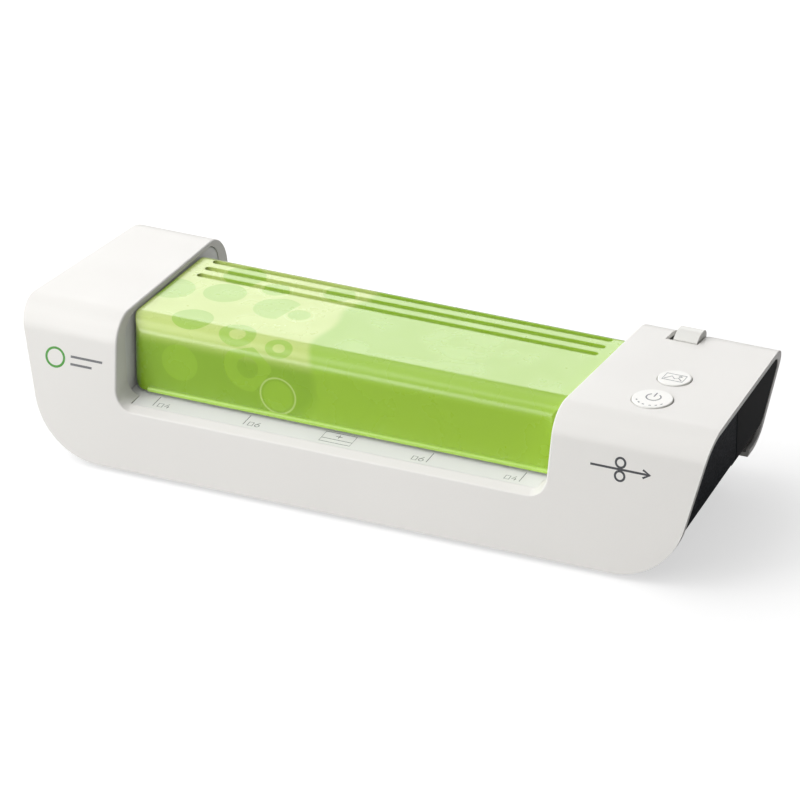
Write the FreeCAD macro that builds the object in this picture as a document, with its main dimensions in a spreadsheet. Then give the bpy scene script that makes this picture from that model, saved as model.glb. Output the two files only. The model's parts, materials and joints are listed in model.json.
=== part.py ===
import FreeCAD, Part
import math
import os
import Sketcher

from FreeCAD import Placement, Rotation, Vector

# A desktop pouch laminator. Everything is modelled in shell coordinates: x = 0 on the shell's middle,
# y = 0 on the foot of the leaning front face (+y to the rear), z = 0 on that face's bottom edge.
# The last step seats every piece on the table with the frame's origin under the middle of the machine.

doc = FreeCAD.newDocument("pouch_laminator")
sheet = doc.addObject("Spreadsheet::Sheet", "sizes")
finished = {}


# ---------------------------------------------------------------- sizes and formulas

class Size:
    """A number that also carries the sheet formula it comes from."""

    def __init__(self, value, text):
        self.value = value
        self.text = text

    def __add__(self, other):
        return combine(self, other, "+", lambda a, b: a + b)

    def __radd__(self, other):
        return combine(other, self, "+", lambda a, b: a + b)

    def __sub__(self, other):
        return combine(self, other, "-", lambda a, b: a - b)

    def __rsub__(self, other):
        return combine(other, self, "-", lambda a, b: a - b)

    def __mul__(self, other):
        return combine(self, other, "*", lambda a, b: a * b)

    def __rmul__(self, other):
        return combine(other, self, "*", lambda a, b: a * b)

    def __truediv__(self, other):
        return combine(self, other, "/", lambda a, b: a / b)

    def __rtruediv__(self, other):
        return combine(other, self, "/", lambda a, b: a / b)

    def __neg__(self):
        return 0 - self


def as_size(number):
    return number if isinstance(number, Size) else Size(float(number), repr(float(number)))


def combine(left, right, sign, work):
    left, right = as_size(left), as_size(right)
    return Size(work(left.value, right.value), f"({left.text} {sign} {right.text})")


def root(number):
    return Size(math.sqrt(number.value), f"sqrt({number.text})")


def size(name, value):
    """Puts a driving dimension in the sheet and returns it."""
    cell = f"B{len(sheet.getUsedCells()) // 2 + 1}"
    sheet.set(cell.replace("B", "A"), name)
    sheet.set(cell, str(value))
    sheet.setAlias(cell, name)
    return Size(value, f"sizes.{name}")


# Outer shell
foot_half_width = size("foot_half_width", 177.9)
side_flare = size("side_flare", 0.25)
side_toe_in = size("side_toe_in", 0.089)
lean = size("face_lean", 0.143)
top_height = size("top_height", 81.1)
top_fall = size("top_fall", 0.021)
depth_line = size("depth_line", 151.0)
wall = size("shell_wall", 2.5)
hem_wall = size("hem_thickness", 4.6)
hem_length = size("hem_length", 2.0)
front_fold = size("front_fold_radius", 17.0)
rear_fold = size("rear_fold_radius", 20.0)
curl_fold = size("curl_fold_radius", 10.0)
curl_height = size("curl_height", 12.0)
curl_length = size("curl_length", 20.0)
foot_corner = size("foot_corner_radius", 42.0)
heel_corner = size("heel_corner_radius", 12.0)

# Window for the pouch, cut through the shell from front to rear
path_offset = size("path_offset", -15.3)
window_half = size("window_half_width", 121.36)
window_flare = size("window_flare", 0.039)
window_sill = size("window_sill", 34.3)
window_corner = size("window_corner_radius", 10.0)
rim_thickness = size("rim_thickness", 2.5)
rim_front = size("rim_front_depth", 19.4)
rim_top = size("rim_top_height", 76.4)
rim_rear = size("rim_rear_depth", 131.5)
rim_corner = size("rim_corner_radius", 12.0)
sill_depth = size("sill_depth", 10.0)
sill_drop = size("sill_drop", 2.2)
window_edge = size("window_edge_radius", 1.2)

# Pouch path and roller cover
path_height = size("path_height", 36.5)
table_fall = size("table_fall", 0.055)
table_height = size("table_height", 33.73)
sheet_thickness = size("table_thickness", 2.4)
cover_front = size("cover_front", 24.0)
cover_rear = size("cover_rear", 120.0)
cover_top = size("cover_top", 78.2)
cover_fall = size("cover_fall", 0.03)
cover_wall = size("cover_wall", 2.4)
cover_gap = size("cover_gap", 0.6)
cover_corner = size("cover_corner_radius", 10.0)
cover_heel = size("cover_heel_radius", 6.0)
cover_front_fold = size("cover_front_fold_radius", 12.0)
cover_rear_fold = size("cover_rear_fold_radius", 11.7)
entry_lip_height = size("entry_lip_height", 36.65)
vent_half = size("vent_half_length", 115.8)
vent_width = size("vent_width", 4.4)
vent_pitch = size("vent_pitch", 9.6)
vent_first = size("vent_first", 89.3)
vent_depth = size("vent_depth", 1.5)
vent_hole = size("vent_hole_radius", 1.3)
vent_rows = 3

# Black casing
casing_inset = size("casing_inset", 0.7)
casing_wall = size("casing_wall", 2.5)
cheek_inset = size("cheek_inset", 0.3)
casing_split = size("casing_split_height", 18.0)
casing_rear = size("casing_rear", 128.5)
fit_gap = size("fit_gap", 0.3)
foot_radius = size("foot_radius", 7.0)
ground_gap = size("ground_gap", 2.5)

# Rollers, frames and drive
front_axis = size("front_roller_y", 56.0)
rear_axis = size("rear_roller_y", 96.0)
roller_radius = size("roller_radius", 12.0)
nip_gap = size("nip_gap", 0.4)
roller_half = size("roller_half_length", 118.0)
shaft_radius = size("shaft_radius", 5.0)
journal_radius = size("journal_radius", 4.0)
running_gap = size("running_gap", 0.05)
frame_reach = size("frame_reach", 129.0)
frame_foot = size("frame_foot_height", 9.5)
frame_front = size("frame_front", 26.0)
frame_rear = size("frame_rear", 122.0)
plate = size("plate_thickness", 1.5)
flange_width = size("flange_width", 11.0)
block = size("bearing_block_size", 14.0)
slot_top = size("bearing_slot_top", 60.0)
spring_half = size("spring_half_width", 6.6)
spring_thickness = size("spring_thickness", 0.5)
shaft_window_top = size("shaft_window_top", 67.0)
gear_teeth = size("roller_gear_teeth", 24)
idler_teeth = size("idler_teeth", 16)
pinion_teeth = size("pinion_teeth", 12)
gear_start = size("gear_start", 134.2)
gear_width = size("gear_width", 8.0)
motor_radius = size("motor_radius", 23.0)
motor_length = size("motor_length", 24.0)
motor_raise = size("motor_raise", 11.7)
screw_radius = size("screw_radius", 1.5)
screw_head_radius = size("screw_head_radius", 3.0)
screw_head_height = size("screw_head_height", 2.0)
boss_radius = size("screw_boss_radius", 5.0)
base_screw_seat = size("base_screw_seat", 4.5)

# Heating, controls and release lever
shoe_height = size("shoe_height", 8.0)
shoe_depth = size("shoe_depth", 11.0)
shoe_gap = size("shoe_gap", 1.5)
power_x = size("power_button_x", 150.4)
power_y = size("power_button_y", 43.4)
power_radius = size("power_button_radius", 10.7)
photo_x = size("photo_button_x", 151.0)
photo_y = size("photo_button_y", 71.4)
photo_radius = size("photo_button_radius", 8.85)
button_rise = size("button_rise", 0.8)
button_gap = size("button_gap", 0.5)
button_travel = size("button_travel", 0.8)
button_edge = size("button_edge_radius", 0.6)
board_height = size("board_height", 62.0)
board_thickness = size("board_thickness", 1.6)
board_screw_length = size("board_screw_length", 6.0)
post_radius = size("board_post_radius", 3.0)
lever_left = size("lever_left", 131.6)
lever_right = size("lever_right", 144.9)
lever_slot_left = size("lever_slot_left", 127.5)
lever_slot_right = size("lever_slot_right", 145.5)
lever_slot_front = size("lever_slot_front", 115.2)
pivot_y = size("lever_pivot_y", 112.5)
pivot_z = size("lever_pivot_z", 56.0)
cam_radius = size("cam_radius", 4.3)
cam_throw = size("cam_throw", 2.6)

# Mains inlet
inlet_x = size("inlet_x", 146.0)
inlet_width = size("inlet_width", 24.0)
inlet_height = size("inlet_height", 13.0)
inlet_floor = size("inlet_floor", 18.6)
inlet_rear = size("inlet_rear", 147.2)

lower_height = path_height - nip_gap / 2 - roller_radius
upper_height = path_height + nip_gap / 2 + roller_radius
block_bottom = upper_height - block / 2
module = (upper_height - lower_height) / gear_teeth
front_slant = root(1 + lean * lean)


# ---------------------------------------------------------------- building blocks

def bind(thing, name, amount):
    thing.setExpression(name, as_size(amount).text)


def add(kind, name):
    return doc.addObject(kind, name)


def origin_plane(body, role):
    return next(item for item in body.Origin.OriginFeatures if item.Role == role)


def sketch_on(body, role, offset=0):
    """An empty sketch on one of the body's origin planes, moved along that plane's normal."""
    sketch = body.newObject("Sketcher::SketchObject", body.Name + "_sketch")
    sketch.AttachmentSupport = (origin_plane(body, role), "")
    sketch.MapMode = "FlatFace"
    bind(sketch, "AttachmentOffset.Base.z", offset)
    return sketch


def pin_point(sketch, line, end, place):
    """Ties one end of a line or arc to its place in the sketch."""
    for direction, amount in zip(("DistanceX", "DistanceY"), place):
        amount = as_size(amount)
        index = sketch.addConstraint(Sketcher.Constraint(direction, -1, 1, line, end, amount.value))
        sketch.setExpression(f"Constraints[{index}]", amount.text)


def flat(place):
    return Vector(as_size(place[0]).value, as_size(place[1]).value, 0)


def draw_outline(sketch, corners):
    """A closed outline, anticlockwise. Corners are (u, v), or (u, v, radius, centre) where an arc leaves."""
    lines = []
    for index, corner in enumerate(corners):
        start, end = flat(corner), flat(corners[(index + 1) % len(corners)])
        if len(corner) == 2:
            lines.append(sketch.addGeometry(Part.LineSegment(start, end), False))
            continue
        centre = flat(corner[3])
        chord = (end - start).normalize()
        middle = centre + Vector(chord.y, -chord.x, 0) * corner[2].value
        lines.append(sketch.addGeometry(Part.Arc(start, middle, end), False))
    for index, corner in enumerate(corners):
        after = (index + 1) % len(corners)
        start = arc_end(sketch, lines[index], flat(corner))
        end = arc_end(sketch, lines[index], flat(corners[after]))
        following = arc_end(sketch, lines[after], flat(corners[after]))
        sketch.addConstraint(Sketcher.Constraint("Coincident", lines[index], end, lines[after], following))
        pin_point(sketch, lines[index], start, corner[:2])
        if len(corner) > 2:
            half_turn = (flat(corners[after]) - flat(corner)).Length > 1.99 * corner[2].value
            amount = as_size(corner[3][0] if half_turn else corner[2])
            across_centre = Sketcher.Constraint("DistanceX", -1, 1, lines[index], 3, amount.value)
            radius = Sketcher.Constraint("Radius", lines[index], amount.value)
            rule = sketch.addConstraint(across_centre if half_turn else radius)
            sketch.setExpression(f"Constraints[{rule}]", amount.text)


def arc_end(sketch, line, place):
    """1 or 2: the end of the line that lies at the place."""
    start = sketch.getPoint(line, 1)
    return 1 if (start - place).Length < 1e-6 else 2


def slab(name, role, corners, start, length):
    """An outline padded along +x (YZ), +y (XZ) or +z (XY), beginning at start."""
    body = add("PartDesign::Body", name)
    backwards = role == "XZ_Plane"
    sketch = sketch_on(body, role, -as_size(start) if backwards else start)
    draw_outline(sketch, corners)
    pad = body.newObject("PartDesign::Pad", name + "_pad")
    pad.Profile = sketch
    bind(pad, "Length", length)
    pad.Reversed = backwards
    doc.recompute()
    return body


def round_edges(body, radius, places, axis):
    """Rounds the body's straight edges that run along the axis through the given places."""
    others = [number for number in range(3) if number != axis]
    chosen = []
    for number, edge in enumerate(body.Shape.Edges, 1):
        if edge.Curve.TypeId != "Part::GeomLine":
            continue
        if abs(abs(edge.tangentAt(edge.FirstParameter)[axis]) - 1) > 0.1:
            continue
        middle = edge.CenterOfMass
        for place in places:
            goal = [as_size(term).value for term in place]
            if math.hypot(middle[others[0]] - goal[0], middle[others[1]] - goal[1]) < 0.5:
                chosen.append(f"Edge{number}")
    if len(chosen) != len(places):
        raise RuntimeError(f"{body.Name}: {len(chosen)} edges found for {len(places)} places")
    base = body.Tip
    feature = body.newObject("PartDesign::Fillet", body.Name + "_round")
    feature.Base = (base, chosen)
    bind(feature, "Radius", radius)
    body.Tip = feature
    doc.recompute()


def box(name, low, high):
    made = add("Part::Box", name)
    for side, word in enumerate(("Length", "Width", "Height")):
        bind(made, word, as_size(high[side]) - low[side])
        bind(made, "Placement.Base." + "xyz"[side], low[side])
    return made


AIMS = {
    "x": Rotation(Vector(0, 1, 0), 90),
    "y": Rotation(Vector(1, 0, 0), -90),
    "z": Rotation(),
}


def rod(name, along, start, radius, length):
    """A cylinder that begins at start and runs in the + direction of an axis."""
    made = add("Part::Cylinder", name)
    made.Placement = Placement(Vector(), AIMS[along])
    bind(made, "Radius", radius)
    bind(made, "Height", length)
    for side in range(3):
        bind(made, "Placement.Base." + "xyz"[side], start[side])
    return made


def fuse(name, *pieces):
    made = add("Part::MultiFuse", name)
    made.Shapes = list(pieces)
    return made


def group(name, pieces):
    made = add("Part::Compound", name)
    made.Links = list(pieces)
    return made


def cut(name, base, *tools):
    made = add("Part::Cut", name)
    made.Base = base
    made.Tool = tools[0] if len(tools) == 1 else fuse(name + "_tools", *tools)
    return made


def common(name, first, second):
    made = add("Part::Common", name)
    made.Base = first
    made.Tool = second
    return made


def soften(name, base, radius, places):
    """Rounds the edges whose middles are nearest to the places, and all that run on smoothly from them."""
    doc.recompute()
    edges = base.Shape.Edges
    rounded = add("Part::Fillet", name)
    rounded.Base = base
    chosen = []
    for place in places:
        goal = Vector(*[as_size(term).value for term in place])
        middles = [edge.valueAt((edge.FirstParameter + edge.LastParameter) / 2) for edge in edges]
        chosen.append(min(range(len(edges)), key=lambda number: (middles[number] - goal).Length) + 1)
    rounded.Edges = [(number, radius.value, radius.value) for number in chosen]
    doc.recompute()
    return rounded


def finish(label, made, place=(0, 0, 0), turn=0):
    """Seats a finished piece on the table and lists it under its node name."""
    made.Label = label
    made.Placement = Placement(Vector(), Rotation(Vector(1, 0, 0), turn))
    bind(made, "Placement.Base.x", place[0])
    bind(made, "Placement.Base.y", place[1] - footprint_depth / 2)
    bind(made, "Placement.Base.z", place[2] + ground_gap)
    finished[label] = made


def path_x(reach, side=1):
    return path_offset + side * as_size(reach)


def reach_box(name, start, end, low, high, side=1):
    """A box between two distances from the pouch path's middle; low and high are (y, z)."""
    edges = sorted((path_x(start, side), path_x(end, side)), key=lambda edge: edge.value)
    return box(name, (edges[0], *low), (edges[1], *high))


def span(name, along_start, along_end, y, z, radius, side=1):
    """A cylinder across the machine between two distances from the pouch path's middle."""
    start, end = (along_start, along_end) if side > 0 else (-as_size(along_end), -as_size(along_start))
    return rod(name, "x", (path_offset + start, y, z), radius, as_size(end) - start)


def shaft_window(name, side, rear):
    """The space at one end of the rollers through which their shafts and the tie rods pass."""
    return reach_box(f"{name}_shaft_window_{side + 1}", 112, 131, (front_axis - 14, 0),
                     (rear, shaft_window_top), side)


# ---------------------------------------------------------------- outlines of the shell

FAR = 100


def front_at(height, inset=0):
    return lean * height + inset * front_slant


def rear_at(height, inset=0):
    return depth_line - lean * height - inset * front_slant


footprint_depth = rear_at(curl_height + curl_fold, curl_fold) + curl_fold


def front_top(inset=0):
    """Where the front face would meet the top if the fold were sharp."""
    height = (top_height - inset - top_fall * inset * front_slant) / (1 + top_fall * lean)
    return front_at(height, inset), height


def rear_top(inset=0):
    height = (top_height - inset - top_fall * (depth_line - inset * front_slant)) / (1 - top_fall * lean)
    return rear_at(height, inset), height


def flared_outline(half, flare, floor, radius, middle=0):
    """A trough seen from the front: flat floor, two rounded corners, sides that lean outward."""
    slant = root(1 + flare * flare)
    centre_up = floor + radius
    centre = half + flare * centre_up - radius * slant
    touch = centre + radius / slant
    touch_up = centre_up - radius * flare / slant
    high = half + flare * FAR
    return [
        (middle - centre, floor),
        (middle + centre, floor, radius, (middle + centre, centre_up)),
        (middle + touch, touch_up),
        (middle + high, as_size(FAR)),
        (middle - high, as_size(FAR)),
        (middle - touch, touch_up, radius, (middle - centre, centre_up)),
    ]


def envelope(name, inset, front_radius, rear_radius):
    """The outer form of the machine from end to end: sides lean out upward and toe in to the rear."""
    body = add("PartDesign::Body", name)
    sketches = []
    for station, radius in ((-6, front_radius), (160, rear_radius)):
        sketch = sketch_on(body, "XZ_Plane", -station)
        half = foot_half_width - inset - side_toe_in * station
        draw_outline(sketch, flared_outline(half, side_flare, as_size(inset), radius))
        sketches.append(sketch)
    loft = body.newObject("PartDesign::AdditiveLoft", name + "_loft")
    loft.Profile = sketches[0]
    loft.Sections = [sketches[1]]
    loft.Ruled = True
    doc.recompute()
    return body


def window(name, outset, floor, radius, start=-10, length=180):
    """The pouch window as a solid bar from front to rear, grown outward by outset."""
    outline = flared_outline(window_half + outset, window_flare, floor, radius, path_offset)
    return slab(name, "XZ_Plane", outline, start, length)


def across(name, corners, half=200):
    """A side outline padded across the whole width of the machine."""
    return slab(name, "YZ_Plane", corners, -as_size(half), 2 * as_size(half))


def casing_section(name, inset, floor):
    """The space inside the shell, which the black casing and the cheeks fill."""
    step = curl_height + wall + fit_gap
    corners = [
        (front_at(floor, inset), floor),
        front_top(inset),
        rear_top(inset),
        (rear_at(step, inset), step),
        (casing_rear, step),
        (casing_rear, floor),
    ]
    body = across(name, corners)
    round_edges(body, front_fold - inset, [front_top(inset)], 0)
    round_edges(body, rear_fold - inset, [rear_top(inset)], 0)
    round_edges(body, curl_fold - inset, [(rear_at(step, inset), step)], 0)
    return body


# ---------------------------------------------------------------- white shell

def shell_sheet(name, thick):
    """The sheet that runs up the front, over the top and down the rear, where it curls in again."""
    body = across(name, [
        (as_size(0), as_size(0)),
        front_top(),
        rear_top(),
        (rear_at(curl_height), curl_height),
        (rear_at(curl_height) - curl_length, curl_height),
        (rear_at(curl_height) - curl_length, curl_height + thick),
        (rear_at(curl_height + thick, thick), curl_height + thick),
        rear_top(thick),
        front_top(thick),
        (front_at(0, thick), as_size(0)),
    ])
    round_edges(body, front_fold - thick, [front_top(thick)], 0)
    round_edges(body, rear_fold - thick, [rear_top(thick)], 0)
    round_edges(body, curl_fold - thick, [(rear_at(curl_height + thick, thick), curl_height + thick)], 0)
    round_edges(body, front_fold, [front_top()], 0)
    round_edges(body, rear_fold, [rear_top()], 0)
    round_edges(body, curl_fold, [(rear_at(curl_height), curl_height)], 0)
    return body


def hem(word, spare):
    """The sheet's thicker edge at both ends, or the room for it when spare is the gap around it."""
    inset, middle = hem_length + spare, foot_half_width - foot_corner
    ends = cut(
        word + "_ends",
        envelope(word + "_outside", 0, foot_corner, heel_corner),
        envelope(word + "_inside", inset, foot_corner - inset, heel_corner - inset),
        box(word + "_middle", (-middle, -20, -20), (middle, 180, 120)),
    )
    return common(word, ends, shell_sheet(word + "_sheet", hem_wall + spare))


def shell_core():
    """Everything inside the outer face of the shell sheet."""
    body = across("shell_core", [
        (as_size(0), as_size(0)),
        front_top(),
        rear_top(),
        (rear_at(curl_height), curl_height),
        (rear_at(curl_height), as_size(0)),
    ])
    round_edges(body, front_fold, [front_top()], 0)
    round_edges(body, rear_fold, [rear_top()], 0)
    return body


def sill_slope(name, inner, run):
    """The space over the sloping sill, which starts at depth inner and drops by sill_drop over run."""
    body = add("PartDesign::Body", name)
    sketches = []
    for runs in (0, 3):
        sketch = sketch_on(body, "XZ_Plane", -(inner + runs * run))
        floor = window_sill - runs * sill_drop
        outline = flared_outline(window_half, window_flare, floor, window_corner, path_offset)
        draw_outline(sketch, outline)
        sketches.append(sketch)
    loft = body.newObject("PartDesign::AdditiveLoft", name + "_loft")
    loft.Profile = sketches[0]
    loft.Sections = [sketches[1]]
    loft.Ruled = True
    doc.recompute()
    return body


def rim_core(name, inset, floor):
    """The part of the window behind the rim."""
    corners = [
        (rim_front + inset, as_size(floor)),
        (rim_front + inset, rim_top - inset),
        (rim_rear - inset, rim_top - inset),
        (rim_rear - inset, as_size(floor)),
    ]
    body = across(name, corners)
    round_edges(body, rim_corner - inset, [corners[1], corners[2]], 0)
    return body


def window_rim():
    """The band that turns in around the window: cheeks at both sides, a sill at front and rear."""
    outer = window("rim_outside", rim_thickness, window_sill - rim_thickness, window_corner + rim_thickness)
    inner = window("rim_inside", 0, window_sill, window_corner)
    band = cut("rim_band", outer, inner)
    depth = cut("rim_depth", shell_core(), rim_core("rim_hollow", 0, -5))
    rim = common("rim_full", band, depth)
    flat_half = window_half - window_corner / 2
    behind_sill = box(
        "rim_table_space",
        (path_offset - flat_half, sill_depth, window_sill - 2 * rim_thickness),
        (path_offset + flat_half, rear_at(window_sill, 0) - sill_depth, window_sill + rim_thickness),
    )
    return cut("rim", rim, behind_sill)


def board_posts():
    """Four posts under the top, with pilot holes, that carry the circuit board."""
    posts = []
    low = board_height + board_thickness
    for number, (x, y) in enumerate(board_corners):
        ceiling = top_height - top_fall * y - wall / 2
        post = rod(f"post_{number}", "z", (x, y, low), post_radius, ceiling - low)
        pilot = rod(f"post_pilot_{number}", "z", (x, y, low), screw_radius, board_screw_length)
        posts.append(cut(f"board_post_{number}", post, pilot))
    return posts


def outer_shell():
    wrap = envelope("shell_ends", 0, foot_corner, heel_corner)
    sheet_body = common("shell_wrapped", shell_sheet("shell_sheet", wall), wrap)
    run = sill_depth - front_at(window_sill)
    sill_slopes = [
        sill_slope("front_sill_slope", sill_depth, -run),
        sill_slope("rear_sill_slope", rear_at(window_sill) - run, run),
    ]
    opened = cut(
        "shell_opened",
        sheet_body,
        window("window_bar", 0, window_sill, window_corner),
        rod("power_hole", "z", (power_x, power_y, 70), power_radius + button_gap, 20),
        rod("photo_hole", "z", (photo_x, photo_y, 70), photo_radius + button_gap, 20),
        box("lever_slot", (lever_slot_left, lever_slot_front, 58), (lever_slot_right, 160, 90)),
        box(
            "inlet_slot",
            (inlet_x - inlet_width / 2 - 0.2, 130, inlet_floor - 0.2),
            (inlet_x + inlet_width / 2 + 0.2, 160, inlet_floor + inlet_height + 0.2),
        ),
    )
    whole = fuse("shell_whole", opened, hem("hem", as_size(0)), window_rim(), *board_posts())
    sharp = cut("shell_sharp", whole, *sill_slopes)
    low = window_sill - sill_drop
    finish("outer_shell", soften("shell", sharp, window_edge, [(path_offset, front_at(low), low)]))


# ---------------------------------------------------------------- green roller cover

def cover_top_at(depth):
    return cover_top - cover_fall * depth


def cover_block(name, inset, floor):
    """The cover's outer form, or its hollow when inset by the wall."""
    front, rear = cover_front + inset, cover_rear - inset
    half = window_half - cover_gap - inset
    profile = across(name + "_side", [
        (front, floor),
        (front, cover_top_at(front) - inset),
        (rear, cover_top_at(rear) - inset),
        (rear, floor),
    ])
    round_edges(profile, cover_front_fold - inset, [(front, cover_top_at(front) - inset)], 0)
    round_edges(profile, cover_rear_fold - inset, [(rear, cover_top_at(rear) - inset)], 0)
    outline = flared_outline(half, window_flare, as_size(floor), cover_heel - inset, path_offset)
    face = slab(name + "_face", "XZ_Plane", outline, cover_front, cover_rear - cover_front)
    wide = half + window_flare * rim_top
    plan = slab(name + "_plan", "XY_Plane", [
        (path_offset - wide, front),
        (path_offset + wide, front),
        (path_offset + wide, rear),
        (path_offset - wide, rear),
    ], 0, FAR)
    corners = [(path_offset + side * wide, end) for side in (-1, 1) for end in (front, rear)]
    round_edges(plan, cover_corner - inset, corners, 2)
    return common(name, common(name + "_walls", profile, face), plan)


def cover_vents():
    """Three long bars side by side near the rear of the top, which the grooves are cut with."""
    half = vent_half - vent_width / 2
    near, far = vent_first - vent_width / 2, vent_first + vent_width / 2
    body = slab("cover_vents", "XY_Plane", [
        (path_offset - half, near),
        (path_offset + half, near, vent_width / 2, (path_offset + half, vent_first)),
        (path_offset + half, far),
        (path_offset - half, far, vent_width / 2, (path_offset - half, vent_first)),
    ], 60, 40)
    slot = body.Tip
    pattern = body.newObject("PartDesign::LinearPattern", "vent_row")
    pattern.Originals = [slot]
    pattern.Direction = (body.Group[0], ["V_Axis"])
    bind(pattern, "Length", vent_pitch * (vent_rows - 1))
    pattern.Occurrences = vent_rows
    body.Tip = pattern
    return body


def roller_cover():
    """The cover over the rollers: grooves with an air hole at one end, and openings for the shafts."""
    bed = cover_block("vent_bed", vent_depth, entry_lip_height)
    grooves = cut("vent_grooves", cover_vents(), bed)
    tools = [cover_block("cover_hollow", cover_wall, entry_lip_height - 10), grooves]
    for number in range(vent_rows):
        place = (path_x(vent_half - vent_width / 2, -1), vent_first + vent_pitch * number, 60)
        tools.append(rod(f"vent_hole_{number}", "z", place, vent_hole, 30))
    tools += [shaft_window("cover", side, cover_rear - cover_wall) for side in (-1, 1)]
    shell = cut("cover_shell", cover_block("cover_form", as_size(0), entry_lip_height), *tools)
    left, right = vent_half - 3.3, window_half - cover_gap
    low, high = entry_lip_height, entry_lip_height + 2.7
    lip = slab("cover_lip", "YZ_Plane", [
        (cover_front - 2, low),
        (cover_front + 0.8, low),
        (cover_front + 0.8, high),
        (cover_front - 2, high),
    ], path_offset - left, left + right)
    round_edges(lip, 1.1, [(cover_front - 2, low), (cover_front - 2, high)], 0)
    finish("roller_cover", fuse("cover", shell, lip))


# ---------------------------------------------------------------- pouch tables and window walls

def table_at(depth):
    return table_height + table_fall * depth


def entry_table():
    """The light grey table that carries the pouch from the sill into the slot."""
    near, far = sill_depth + fit_gap, front_axis - roller_radius - 1
    split = rim_front + fit_gap
    half = window_half - window_corner / 2 - fit_gap
    wide = window_half + window_flare * window_sill + 0.6
    pieces = []
    for name, start, end, reach in (("narrow", near, split, half), ("wide", split, far, wide)):
        pieces.append(slab("entry_" + name, "YZ_Plane", [
            (start, table_at(start) - sheet_thickness),
            (end, table_at(end) - sheet_thickness),
            (end, table_at(end)),
            (start, table_at(start)),
        ], path_offset - reach, 2 * reach))
    finish("entry_table", fuse("entry", *pieces))


def exit_table():
    """The table behind the rear rollers that lets the finished pouch slide out."""
    near, far = rear_axis + roller_radius + 1.5, rear_at(window_sill, 0) - sill_depth - fit_gap
    split = rim_rear - fit_gap
    half = window_half - window_corner / 2 - fit_gap
    wide = window_half + window_flare * window_sill + 0.6
    drop = (path_height - 1.2 - window_sill) / (far - near)
    pieces = []
    for name, start, end, reach in (("wide", near, split, wide), ("narrow", split, far, half)):
        high, low = path_height - 1.2 - drop * (start - near), path_height - 1.2 - drop * (end - near)
        pieces.append(slab("exit_" + name, "YZ_Plane", [
            (start, high - sheet_thickness),
            (end, low - sheet_thickness),
            (end, low),
            (start, high),
        ], path_offset - reach, 2 * reach))
    finish("exit_table", fuse("exit", *pieces))


def window_wall(side, word):
    """A grey wall that closes the window's end behind the rim, with room for the shafts."""
    inner, outer = window_half + 0.4, window_half + 3.0
    low, high = table_at(front_axis) - sheet_thickness - 22, as_size(FAR)
    outline = [(path_offset + side * (reach + window_flare * up), up)
               for reach, up in ((inner, low), (outer, low), (outer, high), (inner, high))]
    panel = slab(word + "_panel", "XZ_Plane", outline, 0, 150)
    shaped = common(word + "_shaped", panel, rim_core(word + "_outline", 2 * fit_gap, low))
    opening = shaft_window(word + "_wall", side, rear_axis + 23)
    ceiling = table_at(front_axis) + 0.2
    tables = slab(word + "_table_space", "YZ_Plane", [
        (as_size(0), as_size(0)),
        (as_size(160), as_size(0)),
        (as_size(160), ceiling),
        (front_axis, ceiling),
        (as_size(0), table_at(0) + 0.2),
    ], path_x(125 * side) - 6, as_size(12))
    finish(word + "_window_wall", cut(word + "_wall", shaped, opening, tables))


# ---------------------------------------------------------------- black casing

def base_housing():
    """The black tub under the machine, with vents under the rollers and holes for the frame screws."""
    floor = casing_inset
    front, rear = front_at(floor, wall + fit_gap), casing_rear
    outside = across("tub_side", [
        (front, floor),
        (front_at(casing_split, wall + fit_gap), casing_split),
        (rear, casing_split),
        (rear, floor),
    ])
    form = common("tub_form", outside, envelope("tub_ends", casing_inset, foot_corner - casing_inset,
                                                foot_corner - casing_inset))
    inset = casing_inset + casing_wall
    inside = across("tub_hollow_side", [
        (front + casing_wall, inset),
        (front_at(40, wall + fit_gap + casing_wall), as_size(40)),
        (rear - casing_wall, as_size(40)),
        (rear - casing_wall, inset),
    ])
    corner = foot_corner - inset
    tools = [common("tub_hollow", inside, envelope("tub_inner_ends", inset, corner, corner))]
    for number in range(9):
        x = path_offset + (number - 4) * 22
        tools.append(box(f"floor_vent_{number}", (x - 2, front_axis, 0), (x + 2, rear_axis, inset + 1)))
    bosses, holes = [], [hem("tub_hem_space", fit_gap)]
    for number, (x, y) in enumerate(base_screw_places):
        start = floor + casing_wall / 2
        bosses.append(rod(f"base_boss_{number}", "z", (x, y, start), boss_radius, frame_foot - start))
        holes.append(rod(f"base_hole_{number}", "z", (x, y, 0), screw_radius, frame_foot + 1))
        holes.append(rod(f"base_sink_{number}", "z", (x, y, 0), screw_head_radius + 0.2, base_screw_seat))
    finish("base_housing", cut("tub", fuse("tub_blank", cut("tub_shell", form, *tools), *bosses), *holes))


def cheek(side, word):
    """A black end panel: a proud smooth zone at the rear, a sunk grained zone in front of it."""
    gap = wall + fit_gap
    outer = envelope(word + "_face", cheek_inset, foot_corner - cheek_inset, foot_corner - cheek_inset)
    inset = casing_inset + casing_wall
    inner = envelope(word + "_back", inset, foot_corner - inset, foot_corner - inset)
    skin = cut(word + "_skin", outer, inner)
    panel = common(word + "_panel_full", skin, casing_section(word + "_section", gap, casing_split + 0.2))
    corner = foot_corner - casing_inset
    sunk = cut(word + "_sunk", envelope(word + "_sunk_out", 0, foot_corner, foot_corner),
               envelope(word + "_sunk_in", casing_inset, corner, corner))
    zone = across(word + "_zone", [(as_size(-10), as_size(0)), (as_size(119), as_size(0)),
                                   (as_size(52), as_size(85)), (as_size(-10), as_size(85))])
    half = box(word + "_half", (-200 if side > 0 else 0, -20, -20), (0 if side > 0 else 200, 180, 120))
    step = common(word + "_step", sunk, zone)
    finish(word + "_cheek", cut(word + "_end", panel, step, half, hem(word + "_hem_space", fit_gap)))


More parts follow.
